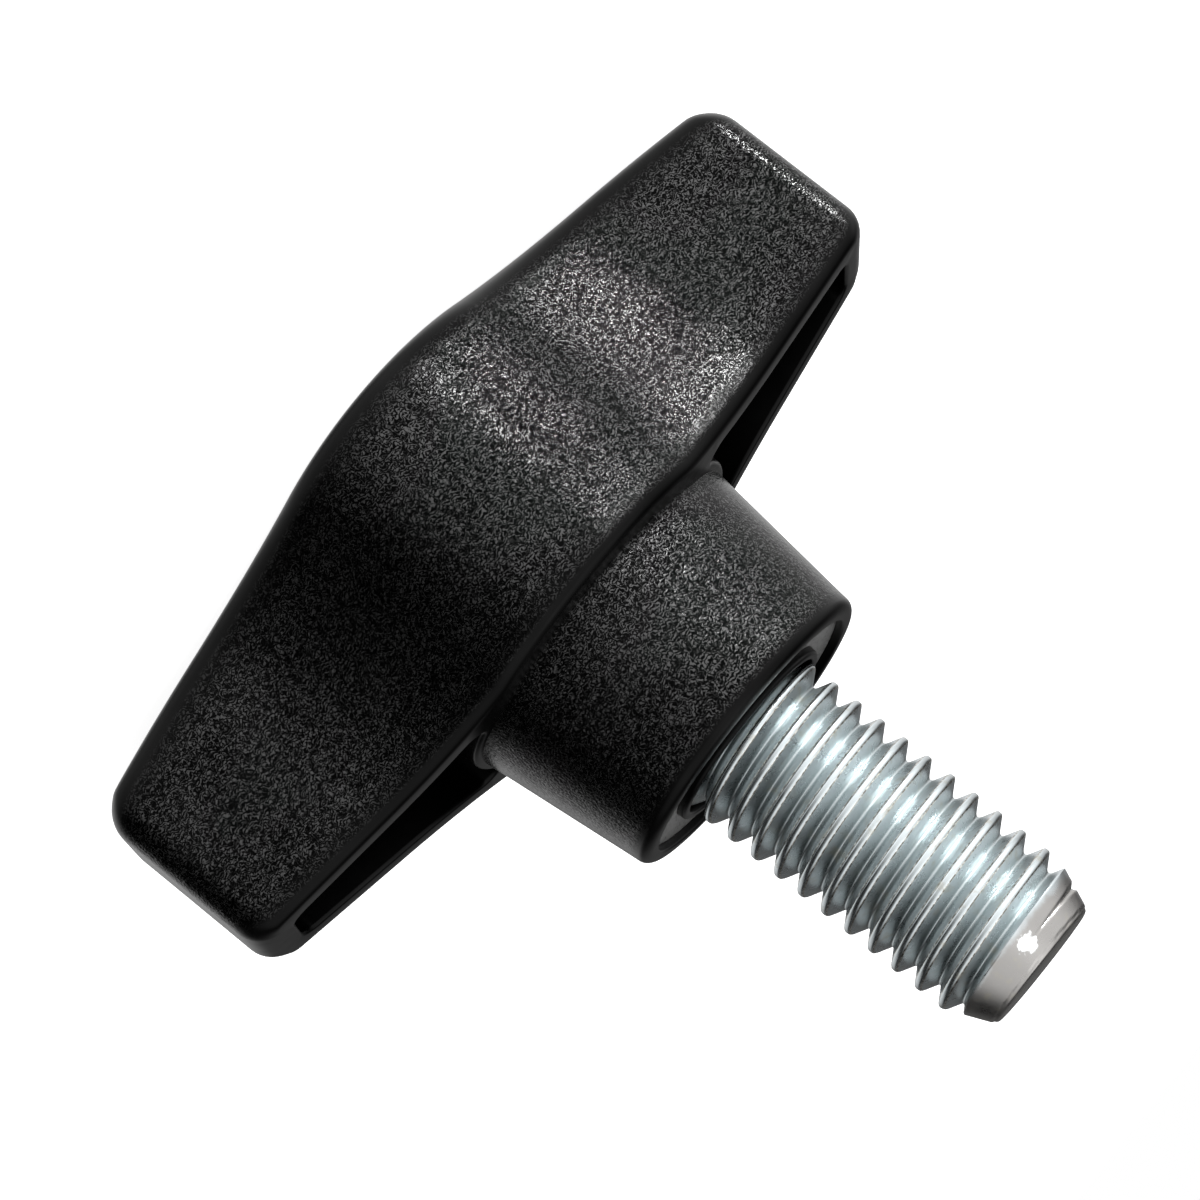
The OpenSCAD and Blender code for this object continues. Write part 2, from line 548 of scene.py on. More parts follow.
@dataclass(frozen=True)
class PocketPlan:
    """Plan outline of the hollow in one wing, inside the wing's own outline."""

    wing: WingPlan
    core_r: float
    wall: float = 1.7
    tip_wall: float = 1.9
    horn_r: float = 0.7
    corner_r: float = 0.9
    corner_steps: int = 6
    face_steps: int = 14
    blend_steps: int = 10
    core_steps: int = 8

    def outline(self, grow: float) -> list[Plan]:
        """Give the outline, grown outwards by a distance.

        Args:
            grow: Distance by which every side moves into the solid.

        Returns:
            Points, anticlockwise.
        """
        wing = self.wing
        face_angle = math.pi / 2 - wing.taper
        centre = wing.blend_centre
        hollow_r = wing.blend_r + self.wall
        horn = self._horn_centre(hollow_r)
        corner = wing.corner_centre(wing.half_span - self.tip_wall, self.wall, self.corner_r)
        horn_angle = math.atan2(centre.y - horn.y, centre.x - horn.x)
        core_angle = math.atan2(horn.y, horn.x)

        def arc(middle: Vector, radius: float, ends: Plan, count: int) -> list[Plan]:
            """Give the points of an arc, with both its ends."""
            angles = [ends[0] + (ends[1] - ends[0]) * t for t in steps(count)]
            return [
                (middle.x + radius * math.cos(a), middle.y + radius * math.sin(a)) for a in angles
            ]

        upper = arc(corner, self.corner_r + grow, (0.0, face_angle), self.corner_steps)
        hollow = arc(centre, grow - hollow_r, (face_angle, horn_angle), self.blend_steps)
        start, stop = Vector(upper[-1]), Vector(hollow[0])
        upper += [tuple(start.lerp(stop, t)) for t in steps(self.face_steps)[1:-1]]
        upper += hollow
        turn = (horn_angle, core_angle + math.pi)
        upper += arc(horn, self.horn_r + grow, turn, self.core_steps)[1:]
        core = arc(Vector((0.0, 0.0)), self.core_r - grow, (core_angle, 0.0), self.core_steps)
        upper += core[1:-1]
        return upper + [core[-1]] + [(x, -y) for x, y in reversed(upper)]

    def _horn_centre(self, hollow_r: float) -> Vector:
        """Find the round that closes the pocket between its wall and the core.

        Args:
            hollow_r: Radius of the pocket's wall along the blend.

        Returns:
            The centre of the round.
        """
        centre = self.wing.blend_centre
        unit = centre.normalized()
        near = self.core_r + self.horn_r
        far = hollow_r + self.horn_r
        along = (near**2 - far**2 + centre.length_squared) / (2 * centre.length)
        across = math.sqrt(near**2 - along**2)
        return unit * along + Vector((unit.y, -unit.x)) * across


@dataclass(frozen=True)
class Anchor:
    """Sizes of the stud's buried end: a plain shank and a hexagonal head."""

    shank_r: float = 3.6
    depth: float = 10.0
    height: float = 4.0
    flats: float = 5.5


@dataclass(frozen=True)
class KnobPlastic:
    """Black glass-filled nylon from a spark-eroded mould, smooth on its edges.

    The pits between the worm-like ridges of the grain swallow light, so they are given a black
    metal's low reflection, and only the ridges shine. Pairs named gain are a gain and a base, and
    other pairs are the ends of a ramp. The grain is laid out by the distance around the knob and
    by height, and two noises break its lines up.
    """

    base: Tone = (0.002, 0.002, 0.002)
    pale: Tone = (0.004, 0.004, 0.004)
    scuff_and_reflection: Tone = (0.2, 0.2, 0.197)
    specular: float = 1.0
    worm_mm: float = 0.145
    worm_break_mm: float = 0.3
    worm_cycles: float = 2.0
    worm_order: float = 0.3
    worm_turn: float = 4.0 * math.pi
    bend_mm: float = 1.3
    lump_mm: float = 0.13
    patch_mm: float = 0.24
    cloud_mm: float = 3.2
    ripple_mm: float = 0.9
    end_flat_mm: float = 2.14
    hub_mm: Plan = (-8.3, -8.0)
    ridge: Plan = (0.36, 0.66)
    ridge_power: float = 3.0
    patch: Plan = (0.25, 0.75)
    patch_gain: Plan = (1.9, 0.3)
    lump: Plan = (0.3, 0.65)
    lump_gain: Plan = (0.9, 0.6)
    cloud_gain: float = 0.02
    least_shine: float = 0.005
    smooth_pit: float = 0.93
    deepest_pit: float = 0.97
    floor_inner_mm: Plan = (4.52, 4.56)
    floor_outer_mm: Plan = (6.1, 6.14)
    floor_under_mm: Plan = (-0.7, -0.6)
    floor_over_mm: Plan = (-0.36, -0.3)
    floor_mottle: Plan = (0.3, 0.42)
    tint: Plan = (0.35, 0.7)
    grain_depth_mm: float = 0.014
    ripple_height: float = 0.4
    ripple_roughness: float = 0.08
    smooth_roughness: float = 0.30
    grain_roughness: float = 0.25

    def build(self) -> bpy.types.Material:
        """Make the material.

        Returns:
            The material.
        """
        material, graph, shader = start_material(Slot.KNOB)
        shader.inputs["Specular IOR Level"].default_value = self.specular
        place = graph.node("ShaderNodeTexCoord", output="Object")
        level = graph.axis(place, "Z")
        grain = graph.attribute(GRAIN)
        lumps = graph.noise(place, 1.0 / (self.lump_mm * MM), 0.0)
        patches = graph.noise(place, 1.0 / (self.patch_mm * MM), 0.0)
        cloud = graph.noise(place, 1.0 / (self.cloud_mm * MM), 2.0)
        ripple = graph.noise(place, 1.0 / (self.ripple_mm * MM), 1.0)
        shine = self._worms(graph, place, lumps, patches).ramp(*self.ridge)
        shine = shine.math("POWER", self.ridge_power)
        shine = shine * patches.ramp(*self.patch).scaled(*self.patch_gain)
        shine = shine * lumps.ramp(*self.lump).scaled(*self.lump_gain)
        shine = shine + self.least_shine + (cloud - 0.5) * self.cloud_gain
        pit = 1.0 - shine.math("MINIMUM", 1.0) * self.deepest_pit
        floor = self._recess_floor(graph, place, level)
        pit = (grain * (pit - self.smooth_pit) + self.smooth_pit) * (1.0 - floor)
        bump = graph.node(
            "ShaderNodeBump",
            {},
            {
                "Strength": 1.0,
                "Distance": self.grain_depth_mm * MM,
                "Height": lumps * grain + ripple * self.ripple_height,
            },
        )
        colour = graph.blend(cloud.ramp(*self.tint), self.base, self.pale)
        # The recess floor is painted a mottled grey: partly a scuffed face, partly a painted
        # reflection of the pale studio.
        colour = graph.blend(floor * lumps.ramp(*self.floor_mottle), colour, self.scuff_and_reflection)
        rough = grain.scaled(self.grain_roughness - self.smooth_roughness, self.smooth_roughness)
        rough = rough + (ripple - 0.5) * self.ripple_roughness
        inputs = {"Base Color": colour, "Metallic": pit, "Roughness": rough, "Normal": bump}
        graph.feed(shader, inputs)
        return material

    def _worms(self, graph: Graph, place: Signal, lumps: Signal, patches: Signal) -> Signal:
        """Draw the worm-like ridges of the grain.

        Args:
            graph: Graph of the material.
            place: Object coordinates.
            lumps: Noise that shifts the ridges sideways.
            patches: Noise that shifts them up and down.

        Returns:
            The height of the ridges.
        """
        level = graph.axis(place, "Z")
        on_wings = 1.0 - level.ramp(*metres(self.hub_mm))
        across = graph.axis(place, "Y").math("ABSOLUTE")
        end_flat = across.math("MINIMUM", self.end_flat_mm * MM) * on_wings
        shift = self.worm_break_mm * MM
        around = graph.attribute(AROUND) - end_flat + (lumps - 0.5) * shift
        height = level + (patches - 0.5) * shift
        laid_out = graph.node("ShaderNodeCombineXYZ", {}, {"X": around, "Y": height})
        inputs = {
            "Vector": laid_out,
            "Scale": 1.0 / (self.worm_cycles * self.worm_mm * MM),
            "Frequency": self.worm_cycles,
            "Anisotropy": self.worm_order,
            4: graph.noise(place, 1.0 / (self.bend_mm * MM), 0.0) * self.worm_turn,
        }
        return graph.node("ShaderNodeTexGabor", {"gabor_type": "2D"}, inputs, "Value")

    def _recess_floor(self, graph: Graph, place: Signal, level: Signal) -> Signal:
        """Find the floor of the recess inside the seating lip, which is painted a mottled grey:
        partly a scuffed face, partly a painted reflection of the pale studio.

        Args:
            graph: Graph of the material.
            place: Object coordinates.
            level: Their Z.

        Returns:
            1 on the floor and 0 elsewhere.
        """
        flat = graph.node(
            "ShaderNodeVectorMath", {"operation": "MULTIPLY"}, {0: place, 1: (1.0, 1.0, 0.0)}
        )
        reach = graph.node("ShaderNodeVectorMath", {"operation": "LENGTH"}, {0: flat}, "Value")
        ring = reach.ramp(*metres(self.floor_inner_mm))
        ring = ring * (1.0 - reach.ramp(*metres(self.floor_outer_mm)))
        layer = level.ramp(*metres(self.floor_under_mm))
        return ring * layer * (1.0 - level.ramp(*metres(self.floor_over_mm)))


@dataclass(frozen=True)
class ZincPlate:
    """Bright zinc plating with a cool cast, with a painted highlight along the crests of the thread
    and painted shade towards its roots.

    Heights are shares of the thread's depth, and scales are lumps to the metre.
    """

    root: Tone = (0.44, 0.49, 0.50)
    flank: Tone = (0.55, 0.595, 0.61)
    chamfer: Tone = (0.36, 0.35, 0.34)
    crest: Tone = (0.70, 0.68, 0.62)
    crest_dark_spot: Tone = (0.17, 0.14, 0.10)
    stain: Tone = (0.42, 0.40, 0.33)
    burnished: Tone = (0.97, 0.97, 0.97)
    cloud_scale: float = 1400.0
    speckle_scale: float = 5000.0
    fine_scale: float = 9000.0
    flank_rise: Plan = (0.05, 0.6)
    edge_height: float = 0.9
    edge_fade: Plan = (0.02, 0.06)
    edge_share: float = 0.9
    dotted: Plan = (0.42, 0.56)
    spot_mm: Place = (0.13, -3.38, 14.6)
    spot_fade_mm: Plan = (0.3, 0.45)
    chamfer_rise_mm: Plan = (-0.8, -0.4)
    ragged_mm: float = 0.6
    stained: Plan = (0.56, 0.74)
    stain_share: float = 0.5
    roughness: float = 0.30
    polished: Plan = (0.8, 1.0)
    polish: float = 0.08
    cloud_roughness: float = 0.25
    fine_roughness: float = 0.1
    bump_strength: float = 0.3
    bump_depth_mm: float = 0.008
    cloud_height: float = 0.6
    fine_height: float = 0.4

    def build(self) -> bpy.types.Material:
        """Make the material.

        Returns:
            The material.
        """
        material, graph, shader = start_material(Slot.STUD)
        shader.inputs["Metallic"].default_value = 1.0
        place = graph.node("ShaderNodeTexCoord", output="Object")
        height = graph.attribute(THREAD_HEIGHT)
        cloud = graph.noise(place, self.cloud_scale, 3.0)
        fine = graph.noise(place, self.fine_scale, 2.0)
        speckle = graph.noise(place, self.speckle_scale, 1.0)
        # Painted shade: the flanks darken towards the roots of the thread.
        tone = graph.blend(height.ramp(*self.flank_rise), self.root, self.flank)
        # Painted highlight: a bright line near each crest, broken into dots by dark brown spots.
        edge = 1.0 - (height - self.edge_height).math("ABSOLUTE").ramp(*self.edge_fade)
        line = graph.blend(speckle.ramp(*self.dotted), self.crest_dark_spot, self.crest)
        tone = graph.blend(edge * self.edge_share, tone, line)
        spot = self._spot(graph, place, speckle)
        dull = graph.axis(place, "Z") + (cloud - 0.5) * (self.ragged_mm * MM)
        dull = dull.ramp(*metres([self.spot_mm[2] + rise for rise in self.chamfer_rise_mm]))
        tone = graph.blend(dull * (1.0 - spot), tone, self.chamfer)
        tone = graph.blend(spot, tone, self.burnished)
        tone = graph.blend(cloud.ramp(*self.stained) * self.stain_share, tone, self.stain)
        rough = self.roughness - height.ramp(*self.polished) * self.polish
        rough = rough + (cloud - 0.5) * self.cloud_roughness + (fine - 0.5) * self.fine_roughness
        bump = graph.node(
            "ShaderNodeBump",
            {},
            {
                "Strength": self.bump_strength,
                "Distance": self.bump_depth_mm * MM,
                "Height": cloud * self.cloud_height + fine * self.fine_height,
            },
        )
        graph.feed(shader, {"Base Color": tone, "Roughness": rough, "Normal": bump})
        return material

    def _spot(self, graph: Graph, place: Signal, speckle: Signal) -> Signal:
        """Find the burnished spot on the chamfer.

        Args:
            graph: Graph of the material.
            place: Object coordinates.
            speckle: Noise that makes its edge ragged.

        Returns:
            1 on the spot and 0 elsewhere.
        """
        ends = {0: place, 1: metres(self.spot_mm)}
        far = graph.node("ShaderNodeVectorMath", {"operation": "DISTANCE"}, ends, "Value")
        far = far + (speckle - 0.5) * (self.ragged_mm * MM)
        return 1.0 - far.ramp(*metres(self.spot_fade_mm))


@dataclass
class WingKnob:
    """The moulding: two cored-out wings, a tapered hub and the collar around the stud."""

    plastic: bpy.types.Material
    crown_r: float = 126.0
    ledge: float = 7.95
    rim_fall: float = math.radians(7.5)
    fall_start: float = 6.0
    draft: float = math.radians(1.0)
    edge_r: float = 1.2
    edge_tip_r: float = 1.5
    rim_r: float = 0.6
    rim_tip_r: float = 1.2
    pocket_draft: float = math.radians(1.2)
    pocket_edge_r: float = 0.2
    pocket_floor_r: float = 0.4
    pocket_shares: Sequence[float] = (0.33, 0.66)
    crown_wall: float = 2.2
    core_wall: float = 0.4
    wall_shares: Sequence[float] = (0.03, 0.08, 0.3, 0.5, 0.7, 0.92, 0.97)
    fillet_steps: int = 9
    fillet_grain: float = 0.4
    hub_r: float = 7.0
    hub_taper: float = math.radians(6.3)
    hub_shares: Sequence[float] = (0.04, 0.2, 0.4, 0.6, 0.8, 0.95)
    hub_count: int = 144
    foot_grain: float = 0.5
    lip_r: float = 0.5
    lip_w: float = 0.85
    lip_steps: int = 8
    lip_flare: float = 0.06
    lip_inner_r: float = 0.12
    recess: float = 0.4
    floor_ring: float = 0.6
    collar_in: float = 4.1
    collar_w: float = 0.4
    collar_outer_r: float = 0.16
    collar_inner_r: float = 0.1
    gap_depth: float = 0.9
    fit: float = 0.02
    anchor: Anchor = Anchor()

    def __post_init__(self) -> None:
        """Take the span and the height from the frame."""
        low, high = box_mm(KNOB_NODE)
        self.height = -low.z
        self.wing = WingPlan(half_span=high.x)
        self.foot_r = self.hub_r + self.ledge * math.tan(self.hub_taper)
        self.pocket = PocketPlan(wing=self.wing, core_r=self.foot_r + self.core_wall)

    def crown_at(self, x: float) -> float:
        """Give the height of the crown at a distance along the wings."""
        return -self.height + sagitta(self.crown_r, x)

    def rim_at(self, x: float) -> float:
        """Give the height of the rims at a distance along the wings."""
        return -self.ledge - max(abs(x) - self.fall_start, 0.0) * math.tan(self.rim_fall)

    def build(self) -> bpy.types.Object:
        """Make the whole moulding as one closed mesh.

        Returns:
            The finished object.
        """
        skin = Skin()
        rim = self._outside(skin)
        openings = [self._pocket(skin, 1.0), self._pocket(skin, -1.0)]
        foot = self._hub(skin)
        skin.plate(rim, [*openings, foot])
        mesh = skin.mesh("wing_knob_moulding")
        mesh.materials.append(self.plastic)
        piece = bpy.data.objects.new("wing_knob_moulding", mesh)
        bpy.context.scene.collection.objects.link(piece)
        weighted = piece.modifiers.new("weighted normals", "WEIGHTED_NORMAL")
        weighted.keep_sharp = True
        return piece

    def _outside(self, skin: Skin) -> list[int]:
        """Add the crown, its fillet, the broad faces and the rim's fillet.

        Args:
            skin: Surface that takes them.

        Returns:
            The last ring, at the rim's land.
        """
        outline = self.wing.outline()
        half = [0.0]
        for one, other in zip(outline, outline[1 : len(outline) // 2]):
            half.append(half[-1] + math.dist(one[:2], other[:2]))
        around = half + half[::-1]
        rings = []
        for t in steps(self.fillet_steps):
            places = [self._crown_point(point, math.pi / 2 * t) for point in outline]
            grain = smooth_step(0.75, 1.0, t) * self.fillet_grain
            rings.append(skin.ring(places, grain, around=around))
        for share in self.wall_shares:
            places = [self._wall_point(point, share) for point in outline]
            rings.append(skin.ring(places, 1.0 if 0.05 < share < 0.95 else 0.6, around=around))
        for t in steps(self.fillet_steps):
            places = [self._rim_point(point, math.pi / 2 * t) for point in outline]
            grain = (1.0 - smooth_step(0.0, 0.25, t)) * self.fillet_grain
            rings.append(skin.ring(places, grain, around=around))
        skin.strips(rings[0])
        skin.stack(rings)
        return rings[-1]

    def _fillet(self, broad: float, tip: float, x: float) -> float:
        """Give a fillet's radius, which is one on the broad faces and another on the tips."""
        end = self.wing.half_span
        return broad + (tip - broad) * smooth_step(end - self.wing.corner_r, end, abs(x))

    def _wall_span(self, x: float) -> tuple[float, float]:
        """Give the heights between which the wall is straight."""
        low = self.crown_at(x) + self._fillet(self.edge_r, self.edge_tip_r, x)
        return low, self.rim_at(x) - self._fillet(self.rim_r, self.rim_tip_r, x)

    def _wall_point(self, point: PlanNormal, share: float) -> Place:
        """Place a point of the outline on the drafted wall.

        Args:
            point: Plan point with its normal.
            share: Share of the way up the wall.

        Returns:
            The point.
        """
        x, y, nx, ny = point
        low, high = self._wall_span(x)
        grow = (high - low) * (1.0 - share) * math.tan(self.draft) * abs(ny)
        return (x + nx * grow, y + ny * grow, low + (high - low) * share)

    def _crown_point(self, point: PlanNormal, angle: float) -> Place:
        """Place a point of the outline on the crown's fillet.

        Args:
            point: Plan point with its normal.
            angle: Angle round the fillet, from the crown.

        Returns:
            The point.
        """
        nx, ny = point[2:]
        radius = self._fillet(self.edge_r, self.edge_tip_r, point[0])
        x, y, _ = self._wall_point(point, 0.0)
        inset = radius * (1.0 - math.sin(angle))
        x -= nx * inset
        return (x, y - ny * inset, self.crown_at(x) + radius * (1.0 - math.cos(angle)))

    def _rim_point(self, point: PlanNormal, angle: float) -> Place:
        """Place a point of the outline on the rim's fillet.

        Args:
            point: Plan point with its normal.
            angle: Angle round the fillet, from the broad face.

        Returns:
            The point.
        """
        x, y, nx, ny = point
        radius = self._fillet(self.rim_r, self.rim_tip_r, x)
        inset = radius * (1.0 - math.cos(angle))
        px = x - nx * inset
        return (px, y - ny * inset, self.rim_at(px) - radius * (1.0 - math.sin(angle)))

    def _pocket(self, skin: Skin, side: float) -> list[int]:
        """Add the hollow of one wing.

        Args:
            skin: Surface that takes it.
            side: 1 for the +X wing, -1 for the other.

        Returns:
            The ring where the hollow opens on the rim's land.
        """
        near = self.pocket.core_r
        far = self.wing.half_span - self.pocket.tip_wall
        rise = (self.crown_at(far) - self.crown_at(near)) / (far - near)

        def floor_at(x: float) -> float:
            """Give the height of the pocket's floor."""
            return self.crown_at(near) + self.crown_wall + (x - near) * rise

        def wall_at(x: float, share: float) -> float:
            """Give a height up the pocket's wall."""
            low = floor_at(x) + self.pocket_floor_r
            return low + (self.rim_at(x) - self.pocket_edge_r - low) * share

        rows = []
        for right, up in quarter_round(self.pocket_floor_r, 5):
            plan = self.pocket.outline(-self._drawn_in(right) - up)
            rows.append([(x, y, floor_at(x) + right) for x, y in plan])
        for share in self.pocket_shares:
            plan = self.pocket.outline(-self._drawn_in(share * self._pocket_depth()))
            rows.append([(x, y, wall_at(x, share)) for x, y in plan])
        for right, up in quarter_round(self.pocket_edge_r, 4):
            rows.append([(x, y, self.rim_at(x) - up) for x, y in self.pocket.outline(right)])
        rings = [skin.ring([(side * x, y, z) for x, y, z in row]) for row in rows]
        skin.plate(rings[0])
        skin.stack(rings)
        return rings[-1]

    def _pocket_depth(self) -> float:
        """Give the depth of a pocket beside the core."""
        return self.height - self.crown_wall - self.ledge

    def _drawn_in(self, lift: float) -> float:
        """Give how far a pocket's wall has moved in at a height above its floor."""
        return (self._pocket_depth() - lift) * math.tan(self.pocket_draft)

    def _hub(self, skin: Skin) -> list[int]:
        """Add the tapered hub, its lip, the recess, the collar and the bore.

        Args:
            skin: Surface that takes them.

        Returns:
            The ring at the hub's foot.
        """
        angles = all_round(self.hub_count)
        slope = math.tan(self.hub_taper)
        around = [self.hub_r * min(a, 2 * math.pi - a) for a in angles]
        foot_z = [self.rim_at(self.foot_r * math.cos(a)) for a in angles]
        places = [circle([a], self.hub_r - z * slope, z)[0] for a, z in zip(angles, foot_z)]
        foot = skin.ring(places, self.foot_grain, crease=True, around=around)
        rings = [foot]
        for share in self.hub_shares:
            z = -self.ledge + (self.ledge - self.lip_r) * share
            places = circle(angles, self.hub_r - z * slope, z)
            rings.append(skin.ring(places, 1.0, around=around))
        for t in steps(self.lip_steps):
            a = self.hub_taper + (math.pi / 2 - self.hub_taper) * t
            r = self.hub_r - self.lip_r * (1.0 - math.cos(a)) + self.lip_flare * math.cos(a)
            places = circle(angles, r, -self.lip_r * (1.0 - math.sin(a)))
            rings.append(skin.ring(places, around=around))
        rings += [skin.ring(circle(angles, r, z), crease=sharp) for r, z, sharp in self._inside()]
        top = -self.anchor.depth + self.fit
        deep = -self.anchor.depth - self.anchor.height - self.fit
        for z in (top, deep):
            places = hexagon(angles, self.anchor.flats + self.fit, z)
            rings.append(skin.ring(places, crease=True))
        rings.append(skin.ring(circle(angles, (self.anchor.shank_r + self.fit) / 2, deep)))
        skin.stack(rings)
        skin.faces.append(tuple(rings[-1]))
        return foot

    def _inside(self) -> list[tuple[float, float, bool]]:
        """Draw the section of the recess, the collar and the bore.

        Returns:
            Radius and height of each ring, and whether it is a sharp edge.
        """
        recess_r = self.hub_r - self.lip_w
        collar_out = self.collar_in + self.collar_w
        bore = self.anchor.shank_r + self.fit
        rows = self._edge(recess_r, self.lip_inner_r, -1.0)
        rows.append((recess_r, -self.recess, True))
        rows.append((collar_out + self.floor_ring, -self.recess, False))
        rows.append((collar_out, -self.recess, True))
        rows += reversed(self._edge(collar_out, self.collar_outer_r, 1.0))
        rows += self._edge(self.collar_in, self.collar_inner_r, -1.0)
        rows.append((self.collar_in, -self.gap_depth, True))
        rows.append((bore, -self.gap_depth, True))
        rows.append((bore, -self.anchor.depth + self.fit, True))
        return rows

    def _edge(self, radius: float, round_r: float, side: float) -> list[tuple[float, float, bool]]:
        """Draw a rounded edge between the seating plane and an upright wall.

        Args:
            radius: Radius of the wall.
            round_r: Radius of the round.
            side: -1 where the wall faces the axis, 1 where it faces away.

        Returns:
            Radius and height of each ring, from the level face to the wall, none of them sharp.
        """
        turn = quarter_round(round_r, 5)
        return [(radius - side * up, -right, False) for right, up in turn]


@dataclass
class ThreadedStud:
    """The stud: a rolled metric thread outside and an anchored shank inside the hub."""

    zinc: bpy.types.Material
    major_r: float = 3.97
    root_r: float = 3.24
    pitch: float = 1.25
    crest_z: float = 0.746
    tip_r: float = 3.02
    tip_len: float = 2.2
    tip_edge_r: float = 0.2
    runout: float = 0.85
    runout_slope: float = 0.9
    runout_depth: float = 0.4
    crest_share: float = 0.20
    thread_blend: float = 0.16
    tip_blend: float = 0.06
    start: float = -0.88
    buried_turns: float = 2.0
    per_turn: int = 96
    per_pitch: int = 24
    weld: float = 0.002
    sharp_angle: float = math.radians(50)
    anchor: Anchor = Anchor()

    def __post_init__(self) -> None:
        """Take the end of the stud from the frame."""
        self.end = box_mm(STUD_NODE)[1].z

    def build(self) -> bpy.types.Object:
        """Make the thread with geometry nodes and join the buried end to it.

        Returns:
            The finished object.
        """
        mesh = self._thread()
        work = bmesh.new()
        work.from_mesh(mesh)
        self._anchor(work)
        bmesh.ops.remove_doubles(work, verts=work.verts, dist=self.weld * MM)
        bmesh.ops.recalc_face_normals(work, faces=work.faces)
        for edge in work.edges:
            sharp = len(edge.link_faces) == 2 and edge.calc_face_angle(0.0) > self.sharp_angle
            edge.smooth = not sharp
        work.to_mesh(mesh)
        work.free()
        piece = bpy.data.objects.new("zinc_stud", mesh)
        bpy.context.scene.collection.objects.link(piece)
        return piece

    def _anchor(self, work: bmesh.types.BMesh) -> None:
        """Add the shank and the hexagonal head that the moulding holds.

        Args:
            work: Mesh that takes them.
        """
        angles = all_round(self.per_turn)
        top = -self.anchor.depth
        rows = [circle(angles, self.anchor.shank_r, z) for z in (self.start, top)]
        rows += [hexagon(angles, self.anchor.flats, z) for z in (top, top - self.anchor.height)]
        rings = [[work.verts.new(Vector(place) * MM) for place in row] for row in rows]
        for one, other in zip(rings, rings[1:]):
            for i in range(self.per_turn):
                j = (i + 1) % self.per_turn
                work.faces.new((one[i], one[j], other[j], other[i]))
        work.faces.new(rings[-1])

    def _thread(self) -> bpy.types.Mesh:
        """Build and run the geometry tree of the thread.

        Returns:
            The plain mesh that it gives.
        """
        first = self.crest_z - self.buried_turns * self.pitch
        turns = math.ceil((self.end - first) / self.pitch) + 1
        tree = self._tree(turns)
        holder = bpy.data.objects.new("thread_holder", bpy.data.meshes.new("thread_holder"))
        bpy.context.scene.collection.objects.link(holder)
        modifier = holder.modifiers.new("thread", "NODES")
        modifier.node_group = tree
        sizes = {
            "Major Radius": self.major_r * MM,
            "Root Radius": self.root_r * MM,
            "Pitch": self.pitch * MM,
            "First Crest": first * MM,
            "Start": self.start * MM,
            "End": self.end * MM,
            "Tip Radius": self.tip_r * MM,
            "Tip Length": self.tip_len * MM,
            "Tip Edge": self.tip_edge_r * MM,
            "Run-out": self.runout * MM,
            "Shank Radius": self.anchor.shank_r * MM,
            "Material": self.zinc,
        }
        for item in tree.interface.items_tree:
            if item.name in sizes:
                modifier[item.identifier] = sizes[item.name]
        holder.update_tag()
        found = holder.evaluated_get(bpy.context.evaluated_depsgraph_get())
        mesh = bpy.data.meshes.new_from_object(found)
        holder.modifiers.clear()
        bpy.data.objects.remove(holder)
        return mesh

    def _tree(self, turns: int) -> bpy.types.NodeTree:
        """Write the geometry tree: one sheet wound into a helix, and a disc for the tip.

        Args:
            turns: Number of turns that the sheet makes.

        Returns:
            The tree.
        """
        tree = bpy.data.node_groups.new("rolled thread", "GeometryNodeTree")
        face = tree.interface
        face.new_socket("Geometry", in_out="OUTPUT", socket_type="NodeSocketGeometry")
        names = ("Major Radius", "Root Radius", "Pitch", "First Crest", "Start", "End")
        names += ("Tip Radius", "Tip Length", "Tip Edge", "Run-out", "Shank Radius")
        for name in names:
            face.new_socket(name, in_out="INPUT", socket_type="NodeSocketFloat")
        face.new_socket("Material", in_out="INPUT", socket_type="NodeSocketMaterial")
        graph = Graph(tree)
        group = graph.add("NodeGroupInput")
        size = {name: Signal(graph, group.outputs[name]) for name in names}
        grid = {"Vertices X": turns * self.per_turn + 1, "Vertices Y": self.per_pitch + 1}
        grid |= {"Size X": 1.0, "Size Y": 1.0}
        sheet = graph.node("GeometryNodeMeshGrid", {}, grid, "Mesh")
        place = graph.node("GeometryNodeInputPosition")
        along = graph.axis(place, "X") + 0.5
        across = graph.axis(place, "Y") + 0.5
        angle = along * (2.0 * math.pi * turns)
        free_z = size["First Crest"] + (along * float(turns) + across - 0.5) * size["Pitch"]
        z = free_z.math("MAXIMUM", size["Start"]).math("MINIMUM", size["End"])
        radius = self._radius(size, across, z)
        below = free_z.math("LESS_THAN", size["Start"] - self.weld / 2 * MM)
        radius = radius + (size["Shank Radius"] - radius) * below
        wound = graph.node(
            "ShaderNodeCombineXYZ",
            {},
            {"X": radius * angle.math("COSINE"), "Y": radius * angle.math("SINE"), "Z": z},
        )
        height = (radius - size["Root Radius"]) / (size["Major Radius"] - size["Root Radius"])
        stored = graph.node(
            "GeometryNodeStoreNamedAttribute",
            {"data_type": "FLOAT", "domain": "POINT"},
            {"Geometry": sheet, "Name": THREAD_HEIGHT, "Value": height},
        )
        moved = graph.node("GeometryNodeSetPosition", {}, {"Geometry": stored, "Position": wound})
        disc = graph.node(
            "GeometryNodeMeshCircle",
            {"fill_type": "NGON"},
            {"Vertices": self.per_turn, "Radius": size["Tip Radius"] - size["Tip Edge"]},
        )
        lift = graph.node("ShaderNodeCombineXYZ", {}, {"Z": size["End"]})
        disc = graph.node("GeometryNodeTransform", {}, {"Geometry": disc, "Translation": lift})
        both = graph.add("GeometryNodeJoinGeometry")
        tree.links.new(moved.socket, both.inputs[0])
        tree.links.new(disc.socket, both.inputs[0])
        merged = graph.node(
            "GeometryNodeMergeByDistance",
            {},
            {"Geometry": Signal(graph, both.outputs[0]), "Distance": self.weld * MM},
        )
